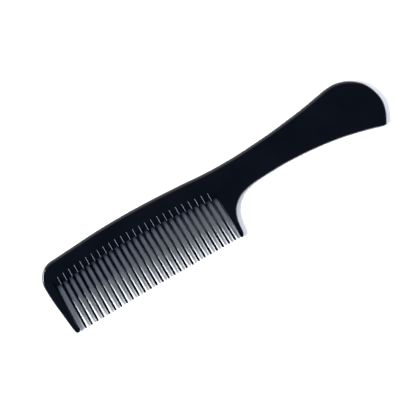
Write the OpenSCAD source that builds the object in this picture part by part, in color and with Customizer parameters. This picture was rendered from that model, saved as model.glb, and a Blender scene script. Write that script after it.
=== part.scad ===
// One-piece moulded handle comb, lying flat on its underside.
// +X runs along the comb to the end of the handle, +Y to the back of the comb,
// +Z up through its thickness. The origin is below the middle of its bounding box.
// The moulding is drawn as named regions that meet face to face.

/* [Overall] */
// Length from the front guard to the end of the handle
comb_length = 215; // [205:1:225]
// Depth from the hump of the handle to the tips of the teeth
comb_depth = 48.6; // [47:0.2:51]
// Thickness of the back and of the handle
thickness = 4; // [3.4:0.1:4.6]
// Width of the rounding along every outer edge
edge_round = 1.6; // [0.8:0.1:2]

/* [Teeth] */
// Number of teeth between the two guards
tooth_count = 26; // [24:1:28]
// Width of a tooth at its root
tooth_root_width = 1.85; // [1.6:0.05:1.9]
// Width of a tooth just before its rounded tip
tooth_tip_width = 1.4; // [1:0.05:1.5]
// Thickness of a tooth just before its rounded tip
tooth_tip_thickness = 1.4; // [1.1:0.1:2]
// Share of a tooth's width that is flat on the upper and lower face
tooth_flat_share = 0.12; // [0.08:0.02:0.4]
// Outward lean of the first and the last tooth, in degrees
tooth_splay = 1.35; // [0:0.05:1.5]
// Length of the rounded tip of a tooth
tooth_tip_round = 0.8; // [0.6:0.1:1.2]

/* [Slots] */
// Length of the ramp that runs down from each face to the root of a slot
slot_ramp = 4.2; // [3:0.1:5]
// Thickness of a guard at its tip
guard_tip_thickness = 2.6; // [2:0.1:3.2]

/* [Hidden] */
TOOTH_NAMES = [for (i = [1:tooth_count]) str(i < 10 ? "tooth_0" : "tooth_", i)];

body_colour = [0.03, 0.035, 0.045];
tooth_colour = [0.05, 0.055, 0.065];

// The outline is drawn for a comb of this length and depth, then scaled.
drawn_length = 215;
drawn_depth = 48.6;
sx = comb_length / drawn_length;
sy = comb_depth / drawn_depth;
mid_z = thickness / 2;

// Upper outline: front shoulder, arched back, waist, hump and end of the handle.
BACK_LINE = [
    [-107.5, 7.2], [-107.1, 9.6], [-105.9, 12.4], [-103.9, 15.1], [-101.3, 17], [-97.9, 18.1],
    [-95, 18.3], [-91, 18.5], [-84, 18.9], [-76, 19.4], [-68, 19.8], [-53, 20.1], [-34, 19.7],
    [-17.5, 18.8], [-8, 18.1], [-0.8, 17.5], [3, 17.3], [5, 17.2], [7, 17.15], [9, 17.1],
    [10.5, 17.05], [12.5, 17.05], [15.5, 17.05], [21, 17.1], [32.5, 17.7], [43.7, 18.5],
    [54.8, 19.7], [65.9, 21.1], [77, 23], [83.5, 24.05], [87.3, 24.2], [91.5, 23.5],
    [95.5, 21.95], [99.3, 19.6], [102.6, 16.6], [104.9, 13.1], [106.6, 8.7], [107.4, 5], [107.5, 3.4],
];

// Lower outline, one point to each point above: front guard, the line that the
// teeth cross, rear guard, throat, underside of the handle and its drooping corner.
LOWER_LINE = [
    [-107.5, 5.5], [-107.25, -1.5], [-106.2, -12], [-105.15, -21.4], [-104.65, -23.4], [-103.3, -24.3],
    [-102.1, -23.6], [-101.5, -22], [-97, -16], [-84, -12], [-68, -12], [-53, -12], [-34, -12],
    [-17.5, -12], [-4, -15], [0.4, -21.5], [1.15, -23.5], [2.3, -24.2], [3.45, -23.1], [4.8, -14.3],
    [6.9, -9.2], [9.8, -6], [14, -3.3], [20.5, -1.6], [32.5, -0.8], [43, -0.65],
    [54.8, -1.2], [65.9, -2.3], [77, -4], [84, -5.5], [89.5, -6.85], [95.5, -8.5],
    [99.5, -9.75], [101.6, -10.3], [102.9, -9.9], [104.3, -7.6], [105.9, -4.5], [107.1, -0.6], [107.5, 1.8],
];

// Where the regions of the moulding meet.
neck_x = 12 * sx;
front_guard_y = 2.5 * sy;
rear_guard_y = -5 * sy;

// The lowest point of the outline, at the tip of the front guard.
guard_tip_y = -24.3 * sy;

// The row of teeth: middle of the first and the last tooth, measured at row_mid_y.
first_tooth_x = -98.15 * sx;
last_tooth_x = -2.42 * sx;
row_mid_y = -9.6 * sy;
row_growth = 0.0106;
lean = tan(tooth_splay);

// Inner edges of the guards at row_mid_y; they lean as the end teeth do.
front_inner_x = -101.4 * sx;
rear_inner_x = 0.65 * sx;

// The roots of the slots and the tips of the teeth each follow a shallow curve.
ROOT_LINE = [[-103, 3.8], [-84, 5.6], [-62, 6.5], [-40, 6], [-20, 4.7], [2, 1.8]];
TIP_LINE = [[-103, -24.25], [-84, -24.05], [-68, -23.7], [-48, -23.5], [-24, -23.65], [4, -23.8]];

outline_steps = 5;
row_curve_steps = 4;
edge_angles = [-90, -60, -30, 0, 30, 60, 90];
corner_share = 0.8;
margin = 6;
overshoot = 0.3;
root_clearance = 0.3;

// Point on a centripetal Catmull-Rom curve between b and c, at share t of the way.
function knot(a, b) = max(sqrt(norm(b - a)), 0.01);
function blend(a, b, ta, tb, t) = a * (tb - t) / (tb - ta) + b * (t - ta) / (tb - ta);
function curve_point(a, b, c, d, share) =
    let (t1 = knot(a, b), t2 = t1 + knot(b, c), t3 = t2 + knot(c, d), t = t1 + share * (t2 - t1))
    let (ab = blend(a, b, 0, t1, t), bc = blend(b, c, t1, t2, t), cd = blend(c, d, t2, t3, t))
    let (abc = blend(ab, bc, 0, t2, t), bcd = blend(bc, cd, t1, t3, t))
    blend(abc, bcd, t1, t2, t);

// An open smooth curve through the points p, with a straight run-in at each end.
function run_in(p) = 2 * p[0] - p[1];
function run_out(p) = 2 * p[len(p) - 1] - p[len(p) - 2];
function smooth(p, steps) =
    let (q = concat([run_in(p)], p, [run_out(p)]))
    concat(
        [for (i = [1:len(q) - 3], k = [0:steps - 1])
            curve_point(q[i - 1], q[i], q[i + 1], q[i + 2], k / steps)],
        [p[len(p) - 1]]
    );

function sized(points) = [for (p = points) [p.x * sx, p.y * sy]];
function reversed(list) = [for (i = [len(list) - 1:-1:0]) list[i]];

// Height of a curve at x, read along its straight pieces.
function height_at(curve, x) = lookup(x, [for (p = curve) [p.x, p.y]]);

function outline_pairs() =
    [smooth(sized(BACK_LINE), outline_steps), smooth(sized(LOWER_LINE), outline_steps)];

// A closed anticlockwise outline moved inwards, by less where it turns a tight corner.
function cross_z(a, b) = a.x * b.y - a.y * b.x;
function corner_radius(a, b) = norm(a) * norm(b) * norm(a + b) / (2 * max(cross_z(a, b), 0.0001));
function inset(outline, distance) =
    let (n = len(outline))
    [
        for (i = [0:n - 1])
            let (before = outline[i] - outline[(i + n - 1) % n], after = outline[(i + 1) % n] - outline[i])
            let (along = before + after, radius = corner_radius(before, after))
            let (step = distance * min(1, corner_share * radius / edge_round))
            outline[i] + step * [-along.y, along.x] / norm(along)
    ];

// The whole silhouette as a plate with elliptically rounded edges and two flat faces.
module plate() {
    pair = outline_pairs();
    stations = len(pair[0]);
    outline = concat(pair[1], reversed(pair[0]));
    n = len(outline);
    levels = len(edge_angles);
    points = [
        for (a = edge_angles, p = inset(outline, edge_round * (1 - cos(a))))
            [p.x, p.y, mid_z * (1 + sin(a))]
    ];
    walls = [
        for (k = [0:levels - 2], i = [0:n - 1])
            let (a = k * n + i, b = k * n + (i + 1) % n)
            each [[a, a + n, b + n], [a, b + n, b]]
    ];
    top = (levels - 1) * n;
    underside = [
        for (i = [0:stations - 2])
            each [[i, i + 1, n - 2 - i], [i, n - 2 - i, n - 1 - i]]
    ];
    upper_face = [for (f = underside) [for (i = reversed(f)) top + i]];
    polyhedron(points = points, faces = concat(walls, underside, upper_face), convexity = 4);
}

// Tooth i counts from 0. Its middle leans outwards towards the tips.
function row_share(i) = i / (tooth_count - 1);
function tooth_x(i, y) =
    let (s = row_share(i), row = last_tooth_x - first_tooth_x)
    first_tooth_x + row * (s - row_growth * s * (1 - s)) + lean * (2 * s - 1) * (row_mid_y - y);
function root_curve() = smooth(sized(ROOT_LINE), row_curve_steps);
function tip_curve() = smooth(sized(TIP_LINE), row_curve_steps);
function tip_y(i) = height_at(tip_curve(), tooth_x(i, row_mid_y));

// Half the width of a tooth at y, on its middle plane.
root_level = 4 * sy;
taper_end = -22 * sy;
function half_width(y) =
    let (share = (root_level - y) / (root_level - taper_end))
    (tooth_root_width + (tooth_tip_width - tooth_root_width) * share) / 2;
function half_thickness(y, root_y) =
    let (share = (root_y - y) / (root_y - taper_end))
    (thickness + (tooth_tip_thickness - thickness) * share) / 2;

// Walls of slot j, between tooth j - 1 and tooth j; the guards close the end slots.
// rise is 0 on the middle plane and 1 on the upper or lower face.
function wall_half(y, rise) = half_width(y) * (1 + (tooth_flat_share - 1) * rise);
function slot_left(j, y, rise) =
    j == 0
        ? front_inner_x - lean * (row_mid_y - y) - half_width(y) * (1 - tooth_flat_share) * rise
        : tooth_x(j - 1, y) + wall_half(y, rise);
function slot_right(j, y, rise) =
    j == tooth_count
        ? rear_inner_x + lean * (row_mid_y - y) + half_width(y) * (1 - tooth_flat_share) * rise
        : tooth_x(j, y) - wall_half(y, rise);
function slot_middle(j, y) = (slot_left(j, y, 0) + slot_right(j, y, 0)) / 2;
function slot_root(j) = height_at(root_curve(), slot_middle(j, root_level));

// A tooth starts just below the roots of the two slots beside it.
function tooth_root(i) = min(slot_root(i), slot_root(i + 1)) - root_clearance;

// The smallest convex solid around a list of points.
module solid_around(points) {
    hull()
        polyhedron(points = points, faces = [[for (i = [0:len(points) - 1]) i]]);
}

// Half of a slot, from the middle plane out through one face (side is 1 or -1).
module slot_half(j, side) {
    low = guard_tip_y - margin;
    out = 1 + overshoot / mid_z;
    root = slot_root(j);
    far = root + slot_ramp * out;
    points = [
        for (end = [[low, low], [root, far]], level = [[0, 0], [1, out]])
            let (y = end[level[0]], z = mid_z * (1 + side * level[1]))
            each [[slot_left(j, y, level[1]), y, z], [slot_right(j, y, level[1]), y, z]]
    ];
    solid_around(points);
}

module slot(j) {
    slot_half(j, 1);
    slot_half(j, -1);
}

// Everything above the line where the teeth and the guards begin.
module back_region() {
    steps = [
        for (i = [0:tooth_count - 1])
            let (y = tooth_root(i))
            each [[slot_middle(i, y), y], [slot_middle(i + 1, y), y]]
    ];
    linear_extrude(height = thickness + 2 * margin)
        polygon(concat(
            [[-comb_length, comb_depth], [-comb_length, front_guard_y]],
            [[slot_middle(0, front_guard_y), front_guard_y]],
            steps,
            [[slot_middle(tooth_count, rear_guard_y), rear_guard_y]],
            [[neck_x, rear_guard_y], [neck_x, comb_depth]]
        ));
}

// A guard thins evenly from the back to its tip.
module guard_taper(root_y) {
    thin = guard_tip_thickness / 2;
    rotate([90, 0, 90])
        linear_extrude(height = comb_length, center = true)
            polygon([
                [root_y, 0], [guard_tip_y, mid_z - thin], [guard_tip_y - margin, mid_z - thin],
                [guard_tip_y - margin, mid_z + thin], [guard_tip_y, mid_z + thin], [root_y, thickness],
            ]);
}

// A straight-sided block from x0 to x1 that reaches down from y.
module block_below(x0, x1, y) {
    translate([x0, y - comb_depth, -margin])
        cube([x1 - x0, comb_depth, thickness + 2 * margin]);
}

module back() {
    color(body_colour)
        difference() {
            intersection() {
                plate();
                translate([0, 0, -margin])
                    back_region();
            }
            for (j = [0:tooth_count])
                slot(j);
        }
}

module handle() {
    color(body_colour)
        intersection() {
            plate();
            translate([neck_x, -comb_depth, -margin])
                cube([comb_length, 2 * comb_depth, thickness + 2 * margin]);
        }
}

module front_guard() {
    color(body_colour)
        difference() {
            intersection() {
                plate();
                guard_taper(front_guard_y);
                block_below(-comb_length, slot_middle(0, row_mid_y), front_guard_y);
            }
            slot(0);
        }
}

module rear_guard() {
    color(body_colour)
        difference() {
            intersection() {
                plate();
                guard_taper(rear_guard_y);
                block_below(slot_middle(tooth_count, row_mid_y), neck_x, rear_guard_y);
            }
            slot(tooth_count);
        }
}

// A tooth is a tapered bar with six sides and a rounded tip.
module tooth(i) {
    root = tooth_root(i);
    tip = tip_y(i);
    arcs = [0, 30, 55, 75, 88];
    rings = concat([[root, 1]], [for (a = arcs) [tip + tooth_tip_round * (1 - sin(a)), cos(a)]]);
    points = [
        for (r = rings)
            let (x = tooth_x(i, r[0]), w = half_width(r[0]) * r[1])
            let (f = w * tooth_flat_share, h = half_thickness(r[0], root) * r[1])
            each [
                [x + w, r[0], mid_z], [x + f, r[0], mid_z + h], [x - f, r[0], mid_z + h],
                [x - w, r[0], mid_z], [x - f, r[0], mid_z - h], [x + f, r[0], mid_z - h],
            ]
    ];
    color(tooth_colour)
        solid_around(points);
}

back();
handle();
front_guard();
rear_guard();
for (i = [0:tooth_count - 1])
    tooth(i);
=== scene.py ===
"""Looks of a moulded handle comb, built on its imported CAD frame.

Every length is in metres. The comb is one moulding, so all its pieces share one
material and meet face to face: the back, the handle, the two guards and each tooth.
"""
import math

import bmesh
import bpy
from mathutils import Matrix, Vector


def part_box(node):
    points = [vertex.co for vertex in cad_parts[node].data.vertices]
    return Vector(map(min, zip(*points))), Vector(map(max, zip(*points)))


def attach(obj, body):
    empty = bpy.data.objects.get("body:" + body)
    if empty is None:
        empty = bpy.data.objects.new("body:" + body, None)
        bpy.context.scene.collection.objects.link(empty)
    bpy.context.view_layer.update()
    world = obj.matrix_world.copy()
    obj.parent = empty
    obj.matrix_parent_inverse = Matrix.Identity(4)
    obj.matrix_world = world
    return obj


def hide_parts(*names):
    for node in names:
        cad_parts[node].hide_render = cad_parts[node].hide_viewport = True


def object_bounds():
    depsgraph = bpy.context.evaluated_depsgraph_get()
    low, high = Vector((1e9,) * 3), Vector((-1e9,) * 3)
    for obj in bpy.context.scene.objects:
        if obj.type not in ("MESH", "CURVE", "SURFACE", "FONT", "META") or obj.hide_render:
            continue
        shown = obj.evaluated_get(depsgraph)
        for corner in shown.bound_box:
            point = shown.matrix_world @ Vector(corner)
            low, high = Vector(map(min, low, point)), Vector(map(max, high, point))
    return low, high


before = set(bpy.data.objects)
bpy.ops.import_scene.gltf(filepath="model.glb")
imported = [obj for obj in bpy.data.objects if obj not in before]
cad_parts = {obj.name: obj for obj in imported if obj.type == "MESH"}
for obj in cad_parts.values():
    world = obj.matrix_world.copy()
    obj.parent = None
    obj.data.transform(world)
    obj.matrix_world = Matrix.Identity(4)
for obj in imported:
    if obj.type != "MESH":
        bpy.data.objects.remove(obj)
CAD_LOW, CAD_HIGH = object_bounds()

MM = 0.001
TINY = 0.005 * MM

# ---- Sizes that the CAD model fixes -------------------------------------------------

MID_Z = (CAD_LOW.z + CAD_HIGH.z) / 2
HALF = (CAD_HIGH.z - CAD_LOW.z) / 2
TEETH = sorted(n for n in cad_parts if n.startswith("tooth_"))
NECK_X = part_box("handle")[0].x
FRONT_CUT_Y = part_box("front_guard")[1].y
REAR_CUT_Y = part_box("rear_guard")[1].y
# How much of a tooth's length its rounded tip takes.
TIP_ROUND = 0.8 * MM
# How far each slot's root slopes into the back, from the middle plane up to the face.
SLOT_RAMP = 4.2 * MM
# Half the thickness of a guard at its tip.
GUARD_TIP_HALF = 1.3 * MM
# Over the slots, their roots lie below this y and the outer edge of the back above it.
ROOTS_BELOW_Y = 12 * MM

# ---- Sizes of the finish ------------------------------------------------------------

# Width in plan of the rounding along the outer edge, and the share of a corner's own
# radius that it may take at most.
EDGE_ROUND = 2.0 * MM
CORNER_SHARE = 0.8
# Radii of the sharp ridge on the middle plane, the lip of a slot or tooth, and the lip
# of a ramp, with the most of the face that a ramp's lip may take.
RIDGE_RADIUS = 0.10 * MM
LIP_RADIUS = 0.17 * MM
RAMP_RADIUS = 1.2 * MM
RAMP_LIP_ROOM = 2.0 * MM
# The least flat that stays between the middle of a tooth and its rounded lip.
FLAT_LEFT = 0.03 * MM
# How many points draw the rounding of a ridge, of a lip, and each stretch of the outline.
RIDGE_STEPS = 3
LIP_STEPS = 7
OUTLINE_STEPS = 3
# A stretch this many times as long as the one before it is straight, not part of a curve.
STRAIGHT_RATIO = 3
# The radius that stands for a stretch with no turn in it, and the least turn measured.
STRAIGHT_RADIUS = 1.0
LEAST_TURN = 1e-12
# The edge rounding's width is averaged over this many points each way, this many times.
SMOOTH_REACH = 2
SMOOTH_PASSES = 4
# Spacing of the points along a guard's straight inner edge.
WALL_STEP = 0.8 * MM
# A guard's inner edge turns from a round edge into a slot's wall over this length.
TIP_BLEND = 2.5 * MM
# How far along the edge a cut between two pieces bends the posts towards itself.
CUT_EASE = 4.0 * MM
# How far a guard's inner edge leans in X from its lower end to the cut, at most.
WALL_LEAN = 0.8 * MM
# How far below the root of a slot the corner between its wall and its ramp begins.
CORNER_STEP = 0.12 * MM
# How far past its walls a slot's root is looked for.
ROOT_SPARE = 0.3 * MM
# Rings along a tooth's body and round its tip, and how far round the tip the last one is.
BODY_RINGS = 12
TIP_RINGS = 8
TIP_LAST_ANGLE = math.radians(87)
CREASE_ANGLE = math.radians(40)

# The crest over each tooth, between the roots of two slots, has a painted highlight: its lips
# are painted pale grey from this level of their posts up to the flat, in place of a glint of
# light along them.
PAINTED_GLINT = "painted_glint"
PAINTED_GLINT_FROM_LEVEL = RIDGE_STEPS + 3


# ---- Reading the CAD frame ----------------------------------------------------------

def plan_key(co):
    """A point's place in plan, rounded so that equal places compare as equal."""
    return (round(co.x, 6), round(co.y, 6))


def middle_edges(node, cuts):
    """Edges of a node that lie on its middle plane, without those along a cut plane."""
    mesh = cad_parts[node].data
    edges = set()
    for edge in mesh.edges:
        a, b = (mesh.vertices[i].co for i in edge.vertices)
        if abs(a.z - MID_Z) > TINY or abs(b.z - MID_Z) > TINY:
            continue
        ends = (plan_key(a), plan_key(b))
        along_cut = any(all(abs(end[axis] - at) < TINY for end in ends) for axis, at in cuts)
        if ends[0] != ends[1] and not along_cut:
            edges.add((min(ends), max(ends)))
    return edges


def chain(edges, start_near):
    """The line of edges that starts at the loose end nearest to a point."""
    links = {}
    for a, b in edges:
        links.setdefault(a, set()).add(b)
        links.setdefault(b, set()).add(a)
    ends = [p for p in links if len(links[p]) == 1]
    start = min(ends, key=lambda p: math.dist(p, start_near))
    path = [start]
    seen = {start}
    while True:
        onward = sorted(p for p in links[path[-1]] if p not in seen)
        if not onward:
            return [Vector(p) for p in path]
        path.append(onward[0])
        seen.add(onward[0])


class Taper:
    """A tooth's plan and thickness, read from its root ring and the ring at its tip."""

    def __init__(self, node):
        self.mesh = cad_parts[node].data
        low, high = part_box(node)
        self.root_y = high.y
        self.tip_y = low.y
        self.round_y = low.y + TIP_ROUND
        self.root = self.ring(self.root_y)
        self.end = self.ring(self.round_y)

    def ring(self, y):
        """Centre, half width, half width of the flat, and half thickness of a CAD ring."""
        points = [v.co for v in self.mesh.vertices if abs(v.co.y - y) < TINY]
        middle = [p.x for p in points if abs(p.z - MID_Z) < TINY]
        top = max(p.z for p in points)
        flat = [p.x for p in points if abs(p.z - top) < TINY]
        centre = (min(middle) + max(middle)) / 2
        return centre, (max(middle) - min(middle)) / 2, (max(flat) - min(flat)) / 2, top - MID_Z

    def at(self, y):
        """Centre, half width, half width of the flat, and half thickness at y."""
        share = (self.root_y - y) / (self.root_y - self.round_y)
        return tuple(a + (b - a) * share for a, b in zip(self.root, self.end))


# ---- Profiles -----------------------------------------------------------------------

def half_section(reach, rise, ridge_radius, lip_radius, lip_room):
    """A slope from the ridge (0, 0) up to a lip at (reach, rise), with both corners round.

    The points give how far the surface has moved in plan and how high it stands.
    lip_room is the most that the lip's rounding may take from the flat beyond it.
    """
    slope = math.atan2(rise, reach)
    pull = lip_radius * math.tan(slope / 2)
    if pull > lip_room:
        pull = lip_room
        lip_radius = pull / math.tan(slope / 2)
    points = []
    centre = ridge_radius / math.sin(slope)
    for k in range(RIDGE_STEPS):
        a = (math.pi / 2 - slope) * k / RIDGE_STEPS
        points.append((centre - ridge_radius * math.cos(a), ridge_radius * math.sin(a)))
    for k in range(LIP_STEPS + 1):
        a = slope * (1 - k / LIP_STEPS)
        points.append((reach + pull - lip_radius * math.sin(a),
                       rise - lip_radius * (1 - math.cos(a))))
    return points


LEVELS = RIDGE_STEPS + LIP_STEPS + 1
RIM = [(1 - math.cos(a), math.sin(a))
       for a in (math.pi / 2 * k / (LEVELS - 1) for k in range(LEVELS))]


def height_read(section, z):
    """How far a section has moved in plan where it reaches the height z."""
    for (d0, z0), (d1, z1) in zip(section, section[1:]):
        if z <= z1:
            return d0 + (d1 - d0) * (z - z0) / (z1 - z0)
    return section[-1][0]


# ---- Plan curves --------------------------------------------------------------------

def catmull(a, b, c, d, t):
    """A point of the smooth curve from b to c, which heads from a and on to d."""
    return 0.5 * ((2 * b) + (c - a) * t + (2 * a - 5 * b + 4 * c - d) * t * t
                  + (3 * b - a - 3 * c + d) * t ** 3)


def refined(points):
    """The same curve with more points on it."""
    q = [2 * points[0] - points[1]] + points + [2 * points[-1] - points[-2]]
    fine = []
    for i in range(1, len(q) - 2):
        span = (q[i + 1] - q[i]).length
        for k in range(OUTLINE_STEPS):
            if span > STRAIGHT_RATIO * max((q[i] - q[i - 1]).length, TINY):
                fine.append(q[i].lerp(q[i + 1], k / OUTLINE_STEPS))
            else:
                fine.append(catmull(*q[i - 1:i + 3], k / OUTLINE_STEPS))
    return fine + [points[-1]]


def tangent(points, i):
    """Direction of a line of points at one of them."""
    return (points[min(i + 1, len(points) - 1)] - points[max(i - 1, 0)]).normalized()


def turn_radius(points, i, reach=3):
    """Radius of an anticlockwise turn at a point; very large where it is straight."""
    a = points[i] - points[max(i - reach, 0)]
    b = points[min(i + reach, len(points) - 1)] - points[i]
    cross = a.x * b.y - a.y * b.x
    if cross < LEAST_TURN:
        return STRAIGHT_RADIUS
    return a.length * b.length * (a + b).length / (2 * cross)


def edge_widths(points):
    """Width of the edge rounding at each point, narrower round a tight corner."""
    spots = range(len(points))
    around = [slice(max(i - SMOOTH_REACH, 0), i + SMOOTH_REACH + 1) for i in spots]
    widths = [min(EDGE_ROUND, CORNER_SHARE * turn_radius(points, i)) for i in spots]
    widths = [min(widths[near]) for near in around]
    for _ in range(SMOOTH_PASSES):
        widths = [sum(widths[near]) / len(widths[near]) for near in around]
    return widths


# ---- Posts: the outer skin from the middle plane up to the flat ----------------------
# A post is a list of plan points, each with its height over the middle plane. All the
# posts have the same number of points, so neighbours join level by level.

def rim_post(p, inward, width):
    """A quarter round, from the middle plane at the edge up and inwards to the flat."""
    return [(p + inward * width * d, HALF * z) for d, z in RIM]


def wall_post(p, side, section):
    """A slot wall that leans away from the slot; side is -1 or 1 along X."""
    return [(p + Vector((side * d, 0)), z) for d, z in section]


def corner_post(p, side, section, ramp):
    """The corner between a slot wall and the ramp at the slot's root."""
    return [(p + Vector((side * d, height_read(ramp, z))), z) for d, z in section]


def mixed(post_a, post_b, share):
    """A post part of the way from one post to another."""
    return [(a[0].lerp(b[0], share), a[1] + (b[1] - a[1]) * share)
            for a, b in zip(post_a, post_b)]


def distances(points):
    """How far along the line each point lies."""
    far = [0.0]
    for p, q in zip(points, points[1:]):
        far.append(far[-1] + (q - p).length)
    return far


def left_of(along):
    """The direction square to another, on its left."""
    return Vector((-along.y, along.x))


def post_directions(points, cuts):
    """The way each post leans inwards: square to the edge, but along the cut at a cut.

    cuts maps the index of a point to the direction of the cut there. Its hold fades
    away along the edge, and is gone by the next cut.
    """
    far = distances(points)
    marks = sorted(cuts)
    ways = []
    for i in range(len(points)):
        inward = left_of(tangent(points, i))
        way = inward.copy()
        for mark in marks:
            onward = [abs(far[m] - far[mark]) for m in marks if (m - mark) * (i - mark) > 0]
            share = max(0.0, 1 - abs(far[i] - far[mark]) / min([CUT_EASE] + onward))
            at_cut = cuts[mark] / left_of(tangent(points, mark)).dot(cuts[mark])
            way += (at_cut - inward) * share
        ways.append(way)
    return ways


def rim_posts(points, cuts):
    """Posts along an outer edge; material lies to the left of the line of points."""
    widths = edge_widths(points)
    ways = post_directions(points, cuts)
    return [rim_post(p, way, width) for p, way, width in zip(points, ways, widths)]


# ---- Mesh building ------------------------------------------------------------------

def finish_mesh(name, bm, node):
    """Turns a bmesh into a smooth-shaded piece that stands for one CAD node."""
    bmesh.ops.recalc_face_normals(bm, faces=bm.faces)
    mesh = bpy.data.meshes.new(name)
    bm.to_mesh(mesh)
    bm.free()
    mesh.shade_smooth()
    mesh.set_sharp_from_angle(angle=CREASE_ANGLE)
    raw = bpy.data.objects.new(name + "_raw", mesh)
    bpy.context.collection.objects.link(raw)
    weigh = raw.modifiers.new("weigh", "WEIGHTED_NORMAL")
    weigh.keep_sharp = True
    ready = bpy.data.meshes.new_from_object(
        raw.evaluated_get(bpy.context.evaluated_depsgraph_get()))
    ready.name = name
    bpy.data.objects.remove(raw)
    bpy.data.meshes.remove(mesh)
    piece = bpy.data.objects.new(name, ready)
    bpy.context.collection.objects.link(piece)
    piece.data.materials.append(MOULDING)
    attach(piece, "root")
    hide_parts(node)


def moulding(name, node, posts, half_at, caps=None, glint_painted=()):
    """A closed solid, alike above and below the middle plane, from its ring of posts.

    half_at gives the thickness at y, as a share of the full thickness. caps lists
    the flat faces as rings of post numbers; without it one face joins all the posts.
    The lips of the posts named by the last argument are painted pale, as a painted highlight.
    """
    bm = bmesh.new()
    glint_layer = bm.verts.layers.float.new(PAINTED_GLINT)
    upper = []
    lower = []
    for post in posts:
        top = []
        bottom = []
        for p, h in post:
            z = h * half_at(p.y)
            top.append(bm.verts.new((p.x, p.y, MID_Z + z)))
            bottom.append(bm.verts.new((p.x, p.y, MID_Z - z)) if z > TINY else top[-1])
        upper.append(top)
        lower.append(bottom)
    n = len(posts)
    for i in range(n):
        a, b = upper[i], upper[(i + 1) % n]
        c, d = lower[i], lower[(i + 1) % n]
        for k in range(LEVELS - 1):
            bm.faces.new((a[k], b[k], b[k + 1], a[k + 1]))
            bm.faces.new((c[k], c[k + 1], d[k + 1], d[k]))
    # Painted highlight: the upper lips of these posts are marked to be painted pale.
    for i in glint_painted:
        for vert in upper[i][PAINTED_GLINT_FROM_LEVEL:] + lower[i][PAINTED_GLINT_FROM_LEVEL:]:
            vert[glint_layer] = 1.0
    for cap in caps or [range(n)]:
        bm.faces.new([upper[i][-1] for i in cap])
        bm.faces.new([lower[i][-1] for i in reversed(cap)])
    finish_mesh(name, bm, node)


def full_half(_y):
    """The back and the handle have the full thickness everywhere."""
    return 1.0


def guard_half(root_y, tip_y):
    """A guard thins evenly from its cut down to its tip."""
    def half_at(y):
        share = max(0.0, (root_y - y) / (root_y - tip_y))
        return 1 + (GUARD_TIP_HALF / HALF - 1) * share
    return half_at


# ---- The regions of the frame -------------------------------------------------------

UP = Vector((0, 1))
RIGHT = Vector((1, 0))


def line_x(a, b, y):
    """x at a height y on the straight line through a and b."""
    return a.x + (b.x - a.x) * (y - a.y) / (b.y - a.y)


def wall_points(low, high):
    """Points up the straight inner edge of a guard, from above its low end to the cut."""
    count = math.ceil((high - low).length / WALL_STEP)
    return [low.lerp(high, k / count) for k in range(1, count + 1)]


def held(p):
    """A point of the outline, held inside the box of the CAD model."""
    return Vector((min(max(p.x, CAD_LOW.x), CAD_HIGH.x), min(max(p.y, CAD_LOW.y), CAD_HIGH.y)))


def nearest(points, spot):
    """Index of the point nearest to a spot."""
    return min(range(len(points)), key=lambda i: (points[i] - spot).length)


tapers = [Taper(node) for node in TEETH]
front_line = chain(middle_edges("front_guard", [(1, FRONT_CUT_Y)]), (CAD_LOW.x, FRONT_CUT_Y))
rear_line = chain(middle_edges("rear_guard", [(1, REAR_CUT_Y)]), (NECK_X, REAR_CUT_Y))
handle_line = chain(middle_edges("handle", [(0, NECK_X)]), (NECK_X, REAR_CUT_Y))
back_edges = middle_edges("back", [(0, NECK_X), (1, FRONT_CUT_Y), (1, REAR_CUT_Y)])
back_line = chain(back_edges, (NECK_X, CAD_HIGH.y))
throat_line = chain(back_edges, rear_line[0])

# The whole outer edge, anticlockwise, from the top of the rear guard's inner edge round
# the handle and the back to the top of the front guard's inner edge.
outer_line = list(reversed(rear_line[:-1])) + throat_line[1:] + handle_line[1:] + back_line[1:]
outer_line = [held(p) for p in refined(outer_line + front_line[1:-1])]
rear_wall = list(reversed(wall_points(*rear_line[-2:])))
front_wall = wall_points(*front_line[-2:])
EDGE = rear_wall + outer_line + front_wall

# Where the cuts between the pieces meet the edge, as indices of its points.
REAR_CUT = nearest(EDGE, rear_line[0])
NECK_LOW = nearest(EDGE, handle_line[0])
NECK_HIGH = nearest(EDGE, handle_line[-1])
FRONT_CUT = nearest(EDGE, front_line[0])
EDGE_POSTS = rim_posts(EDGE, {REAR_CUT: RIGHT, NECK_LOW: UP, NECK_HIGH: UP, FRONT_CUT: RIGHT})


def handle_piece():
    """The handle: the outer edge from one end of the neck's cut round to the other."""
    moulding("handle_moulding", "handle", EDGE_POSTS[NECK_LOW:NECK_HIGH + 1], full_half)


def wall_section(taper, y, lip_room):
    """Section of a slot's wall beside a tooth at y, drawn to the full half thickness."""
    _, half, flat, _ = taper.at(y)
    return half_section(half - flat, HALF, RIDGE_RADIUS, LIP_RADIUS, lip_room)


def slot_wall(j, side, y):
    """Plan x of a wall of slot j on the middle plane, and the section of that wall."""
    if side < 0 and j == 0:
        return line_x(*front_line[-2:], y), wall_section(tapers[0], y, LIP_RADIUS)
    if side > 0 and j == len(tapers):
        return line_x(*rear_line[-2:], y), wall_section(tapers[-1], y, LIP_RADIUS)
    taper = tapers[j] if side > 0 else tapers[j - 1]
    centre, half, flat, _ = taper.at(y)
    return centre - side * half, wall_section(taper, y, flat - FLAT_LEFT)


def slot_roots():
    """y of the root of each slot, read from the CAD back."""
    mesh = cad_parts["back"].data
    points = {plan_key(v.co) for v in mesh.vertices
              if abs(v.co.z - MID_Z) < TINY and v.co.y < ROOTS_BELOW_Y}
    roots = []
    for j in range(len(tapers) + 1):
        left, _ = slot_wall(j, -1, FRONT_CUT_Y)
        right, _ = slot_wall(j, 1, FRONT_CUT_Y)
        roots.append(max(y for x, y in points if left - ROOT_SPARE < x < right + ROOT_SPARE))
    return roots


RAMP = half_section(SLOT_RAMP, HALF, RIDGE_RADIUS, RAMP_RADIUS, RAMP_LIP_ROOM)


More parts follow.
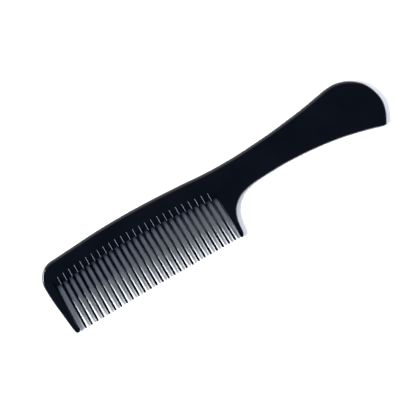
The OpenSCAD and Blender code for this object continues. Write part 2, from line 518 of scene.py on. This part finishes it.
def slot_posts(j, root, left_low, right_low):
    """Eight posts: up the left wall of a slot to its root, and down the right wall.

    Two of the four posts on each wall rise with the ramp, the upper one at the corner.
    """
    posts = []
    for side, low in ((-1, left_low), (1, right_low)):
        wall = []
        for y in (low, (low + root) / 2):
            x, section = slot_wall(j, side, y)
            wall.append(wall_post(Vector((x, y)), side, section))
        for y in (root - CORNER_STEP, root):
            x, section = slot_wall(j, side, y)
            wall.append(corner_post(Vector((x, y)), side, section, RAMP))
        posts += wall if side < 0 else reversed(wall)
    return posts


def back_piece():
    """The back: its slots from left to right, then the throat and the outer edge.

    Its flat is one large face, with three small ones on the crest over each tooth.
    """
    posts = []
    face = []
    crests = []
    glint_painted = []
    for j, root in enumerate(slot_roots()):
        left_low = FRONT_CUT_Y if j == 0 else tapers[j - 1].root_y
        right_low = REAR_CUT_Y if j == len(tapers) else tapers[j].root_y
        first = len(posts)
        posts += slot_posts(j, root, left_low, right_low)
        last = len(posts) - 1
        if j == 0:
            face += range(first, first + 3)
        face += [first + 3, first + 4]
        if j < len(tapers):
            crests += [(last - k, last - k + 1, last + k, last + k + 1) for k in (1, 2, 3)]
            # The lips of each crest get a pale painted highlight.
            glint_painted += [last - 2, last - 1, last + 2, last + 3]
        else:
            face += range(first + 5, last + 1)
    slots = len(posts)
    posts += EDGE_POSTS[REAR_CUT:NECK_LOW + 1] + EDGE_POSTS[NECK_HIGH:FRONT_CUT + 1]
    face += range(slots, len(posts))
    moulding("back_moulding", "back", posts, full_half, [face] + crests, glint_painted)


def guard_posts(posts, points, side, taper, low):
    """Posts of a guard, with its inner edge turned into the slanting wall of its slot.

    side is -1 where the guard lies left of its slot and 1 where it lies right of it.
    low is where that straight inner edge begins, just above the guard's rounded tip.
    """
    ready = []
    for post, p in zip(posts, points):
        if abs(p.x - low.x) < WALL_LEAN and p.y > low.y:
            wall = wall_post(p, side, wall_section(taper, p.y, LIP_RADIUS))
            post = mixed(post, wall, min(1.0, (p.y - low.y) / TIP_BLEND))
        ready.append(post)
    return ready


def guard_piece(name, node, start, end, side, taper, low):
    """The guard whose edge runs from one point of the outer edge to another."""
    points = EDGE[start:end + 1]
    posts = guard_posts(EDGE_POSTS[start:end + 1], points, side, taper, low)
    heights = [p.y for p in points]
    moulding(name, node, posts, guard_half(max(heights), min(heights)))


# ---- Teeth --------------------------------------------------------------------------

def tooth_ring(taper, y, scale):
    """One ring of a tooth: the side section on all four quarters."""
    centre, half, flat, thick = taper.at(y)
    section = half_section(half - flat, thick, RIDGE_RADIUS, LIP_RADIUS, flat - FLAT_LEFT)
    quarter = [(half - d, z) for d, z in section]
    right = [(x, -z) for x, z in reversed(quarter[1:])] + quarter
    ring = right + [(-x, z) for x, z in reversed(right)]
    return [(centre + x * scale, y, MID_Z + z * scale) for x, z in ring]


def tooth_piece(node, taper):
    """A tooth: rings down to its tip, then rings that shrink round the tip."""
    length = taper.root_y - taper.round_y
    rings = [tooth_ring(taper, taper.root_y - length * k / BODY_RINGS, 1.0)
             for k in range(BODY_RINGS + 1)]
    for k in range(1, TIP_RINGS + 1):
        a = TIP_LAST_ANGLE * k / TIP_RINGS
        y = taper.round_y - (taper.round_y - taper.tip_y) * math.sin(a)
        rings.append([(x, y, z) for x, _, z in tooth_ring(taper, taper.round_y, math.cos(a))])
    bm = bmesh.new()
    rings = [[bm.verts.new(co) for co in ring] for ring in rings]
    for a, b in zip(rings, rings[1:]):
        n = len(a)
        for i in range(n):
            bm.faces.new((a[i], a[(i + 1) % n], b[(i + 1) % n], b[i]))
    bm.faces.new(rings[0])
    bm.faces.new(list(reversed(rings[-1])))
    finish_mesh(node + "_moulding", bm, node)


# ---- Materials ----------------------------------------------------------------------

PLASTIC_DARK = (0.0007, 0.0009, 0.0015, 1)
PLASTIC_LIGHT = (0.0015, 0.0019, 0.0032, 1)
PLASTIC_IOR = 1.49
# Pale grey painted onto the crest lips as a painted highlight.
PAINTED_GLINT_COLOUR = (0.16, 0.185, 0.21, 1)
# Roughness of the plastic, between the glossiest and the dullest of its flow marks.
GLOSSIEST = 0.07
DULLEST = 0.13
# Flow marks are this many to the metre along the comb, and across it.
FLOW_ALONG = 60
FLOW_ACROSS = 900
PEEL_DEPTH = 0.02 * MM
PAPER_DARK = (0.88, 0.88, 0.885, 1)
PAPER_LIGHT = (0.92, 0.92, 0.925, 1)
PAPER_ROUGHNESS = 0.8


def new_material(name):
    """A material with its nodes, its links and its shader node."""
    material = bpy.data.materials.new(name)
    material.use_nodes = True
    nodes = material.node_tree.nodes
    return material, nodes, material.node_tree.links, nodes["Principled BSDF"]


def black_plastic():
    """Glossy black plastic: faint mottling, moulding flow lines, and a painted highlight of
    pale grey on the crest lips.
    """
    material, nodes, links, shader = new_material("polished_black_plastic")
    place = nodes.new("ShaderNodeTexCoord")
    mottle = nodes.new("ShaderNodeTexNoise")
    mottle.inputs["Scale"].default_value = 45
    mottle.inputs["Detail"].default_value = 3
    links.new(place.outputs["Object"], mottle.inputs["Vector"])
    tint = nodes.new("ShaderNodeValToRGB")
    tint.color_ramp.elements[0].position = 0.35
    tint.color_ramp.elements[0].color = PLASTIC_DARK
    tint.color_ramp.elements[1].position = 0.7
    tint.color_ramp.elements[1].color = PLASTIC_LIGHT
    links.new(mottle.outputs["Fac"], tint.inputs["Fac"])
    # Painted highlight along the crest lips: the marked lips are mixed to a pale grey.
    painted_glint = nodes.new("ShaderNodeAttribute")
    painted_glint.attribute_name = PAINTED_GLINT
    colour = nodes.new("ShaderNodeMix")
    colour.data_type = "RGBA"
    colour.inputs["B"].default_value = PAINTED_GLINT_COLOUR
    links.new(painted_glint.outputs["Fac"], colour.inputs["Factor"])
    links.new(tint.outputs["Color"], colour.inputs["A"])
    links.new(colour.outputs["Result"], shader.inputs["Base Color"])
    stretch = nodes.new("ShaderNodeMapping")
    stretch.inputs["Scale"].default_value = (FLOW_ALONG, FLOW_ACROSS, FLOW_ACROSS)
    links.new(place.outputs["Object"], stretch.inputs["Vector"])
    flow = nodes.new("ShaderNodeTexNoise")
    flow.inputs["Scale"].default_value = 1
    flow.inputs["Detail"].default_value = 4
    links.new(stretch.outputs["Vector"], flow.inputs["Vector"])
    gloss = nodes.new("ShaderNodeMapRange")
    gloss.inputs["To Min"].default_value = GLOSSIEST
    gloss.inputs["To Max"].default_value = DULLEST
    links.new(flow.outputs["Fac"], gloss.inputs["Value"])
    links.new(gloss.outputs["Result"], shader.inputs["Roughness"])
    peel = nodes.new("ShaderNodeTexNoise")
    peel.inputs["Scale"].default_value = 500
    peel.inputs["Detail"].default_value = 2
    links.new(place.outputs["Object"], peel.inputs["Vector"])
    bump = nodes.new("ShaderNodeBump")
    bump.inputs["Strength"].default_value = 0.1
    bump.inputs["Distance"].default_value = PEEL_DEPTH
    links.new(peel.outputs["Fac"], bump.inputs["Height"])
    links.new(bump.outputs["Normal"], shader.inputs["Normal"])
    shader.inputs["IOR"].default_value = PLASTIC_IOR
    return material


def pale_paper():
    """The white ground under the comb, with a faint grain."""
    material, nodes, links, shader = new_material("pale_floor")
    grain = nodes.new("ShaderNodeTexNoise")
    grain.inputs["Scale"].default_value = 400
    tone = nodes.new("ShaderNodeValToRGB")
    tone.color_ramp.elements[0].color = PAPER_DARK
    tone.color_ramp.elements[1].color = PAPER_LIGHT
    place = nodes.new("ShaderNodeTexCoord")
    links.new(place.outputs["Object"], grain.inputs["Vector"])
    links.new(grain.outputs["Fac"], tone.inputs["Fac"])
    links.new(tone.outputs["Color"], shader.inputs["Base Color"])
    shader.inputs["Roughness"].default_value = PAPER_ROUGHNESS
    return material


# ---- Stage --------------------------------------------------------------------------

# The camera looks straight down, turned so that the handle points up to the right.
PHOTO_TURN = math.radians(30.2)
VIEW_CENTRE = Vector((-6.4 * MM, 0.28 * MM, MID_Z))
VIEW_WIDTH = 230.9 * MM
VIEW_DISTANCE = 445 * MM
SENSOR_WIDTH = 36
CLIP_START = 0.01

FLOOR_REACH = 3.0
FLOOR_DROP = 0.02 * MM

LIGHT_DISTANCE = 2.5
WARM = (1.0, 0.985, 0.96)
COOL = (0.97, 0.98, 1.0)
NEUTRAL = (1.0, 1.0, 1.0)

# The glow's direction in degrees, and how far it spreads, as the cosine at its edge.
GLOW_AZIMUTH = 95
GLOW_ELEVATION = 18
GLOW_EDGE = 0.45
GLOW_COLOUR = (0.84, 0.92, 1.0, 1)
ROOM_COLOUR = (0.035, 0.055, 0.11, 1)
ROOM_STRENGTH = 1.5


def toward(azimuth, elevation):
    """A direction: azimuth in degrees from +X towards +Y, elevation above the floor."""
    a, e = math.radians(azimuth), math.radians(elevation)
    return Vector((math.cos(a) * math.cos(e), math.sin(a) * math.cos(e), math.sin(e)))


def camera():
    """A camera straight above the comb, VIEW_DISTANCE over its middle plane."""
    data = bpy.data.cameras.new("camera")
    data.sensor_width = SENSOR_WIDTH
    data.lens = data.sensor_width * VIEW_DISTANCE / VIEW_WIDTH
    data.clip_start = CLIP_START
    cam = bpy.data.objects.new("camera", data)
    bpy.context.collection.objects.link(cam)
    cam.location = VIEW_CENTRE + Vector((0, 0, VIEW_DISTANCE))
    cam.rotation_euler = (0, 0, -PHOTO_TURN)
    bpy.context.scene.camera = cam


def soft_light(name, direction, width, height, strength, colour, for_gloss):
    """An oval light, seen either in the gloss of the plastic or by everything matt."""
    data = bpy.data.lights.new(name, "AREA")
    data.shape = "ELLIPSE"
    data.size = width
    data.size_y = height
    data.energy = strength
    data.color = colour
    lamp = bpy.data.objects.new(name, data)
    bpy.context.collection.objects.link(lamp)
    lamp.visible_glossy = for_gloss
    lamp.visible_diffuse = not for_gloss
    lamp.location = VIEW_CENTRE + direction * LIGHT_DISTANCE
    lamp.rotation_mode = "QUATERNION"
    lamp.rotation_quaternion = direction.to_track_quat("Z", "Y")


def room():
    """A dim room, dark overhead, with a broad soft glow low down behind the comb's back."""
    world = bpy.data.worlds.new("dim_room")
    world.use_nodes = True
    nodes = world.node_tree.nodes
    links = world.node_tree.links
    direction = nodes.new("ShaderNodeTexCoord")
    facing = nodes.new("ShaderNodeVectorMath")
    facing.operation = "DOT_PRODUCT"
    facing.inputs[1].default_value = toward(GLOW_AZIMUTH, GLOW_ELEVATION)
    links.new(direction.outputs["Generated"], facing.inputs[0])
    glow = nodes.new("ShaderNodeValToRGB")
    glow.color_ramp.interpolation = "EASE"
    glow.color_ramp.elements[0].position = GLOW_EDGE
    glow.color_ramp.elements[0].color = ROOM_COLOUR
    glow.color_ramp.elements[1].position = 1.0
    glow.color_ramp.elements[1].color = GLOW_COLOUR
    links.new(facing.outputs["Value"], glow.inputs["Fac"])
    links.new(glow.outputs["Color"], nodes["Background"].inputs["Color"])
    nodes["Background"].inputs["Strength"].default_value = ROOM_STRENGTH
    bpy.context.scene.world = world


def stage():
    """The white ground, the room and the lights."""
    mesh = bpy.data.meshes.new("floor")
    corners = [(x * FLOOR_REACH, y * FLOOR_REACH, -FLOOR_DROP)
               for x, y in ((-1, -1), (1, -1), (1, 1), (-1, 1))]
    mesh.from_pydata(corners, [], [(0, 1, 2, 3)])
    floor = bpy.data.objects.new("floor", mesh)
    bpy.context.collection.objects.link(floor)
    mesh.materials.append(pale_paper())
    room()
    soft_light("key", toward(174, 42), width=0.75, height=0.75,
               strength=115, colour=WARM, for_gloss=False)
    soft_light("fill", toward(0, 36), width=1.2, height=1.2,
               strength=62, colour=COOL, for_gloss=False)
    soft_light("shoulder_glint", toward(152, 18), width=1.5, height=0.24,
               strength=85, colour=NEUTRAL, for_gloss=True)


# ---- Build --------------------------------------------------------------------------

MOULDING = black_plastic()
camera()
stage()
handle_piece()
back_piece()
guard_piece("front_guard_moulding", "front_guard",
            FRONT_CUT, len(EDGE) - 1, -1, tapers[0], front_line[-2])
guard_piece("rear_guard_moulding", "rear_guard",
            0, REAR_CUT, 1, tapers[-1], rear_line[-2])
for tooth_node, tooth_taper in zip(TEETH, tapers):
    tooth_piece(tooth_node, tooth_taper)
bpy.context.scene.view_settings.view_transform = "Standard"
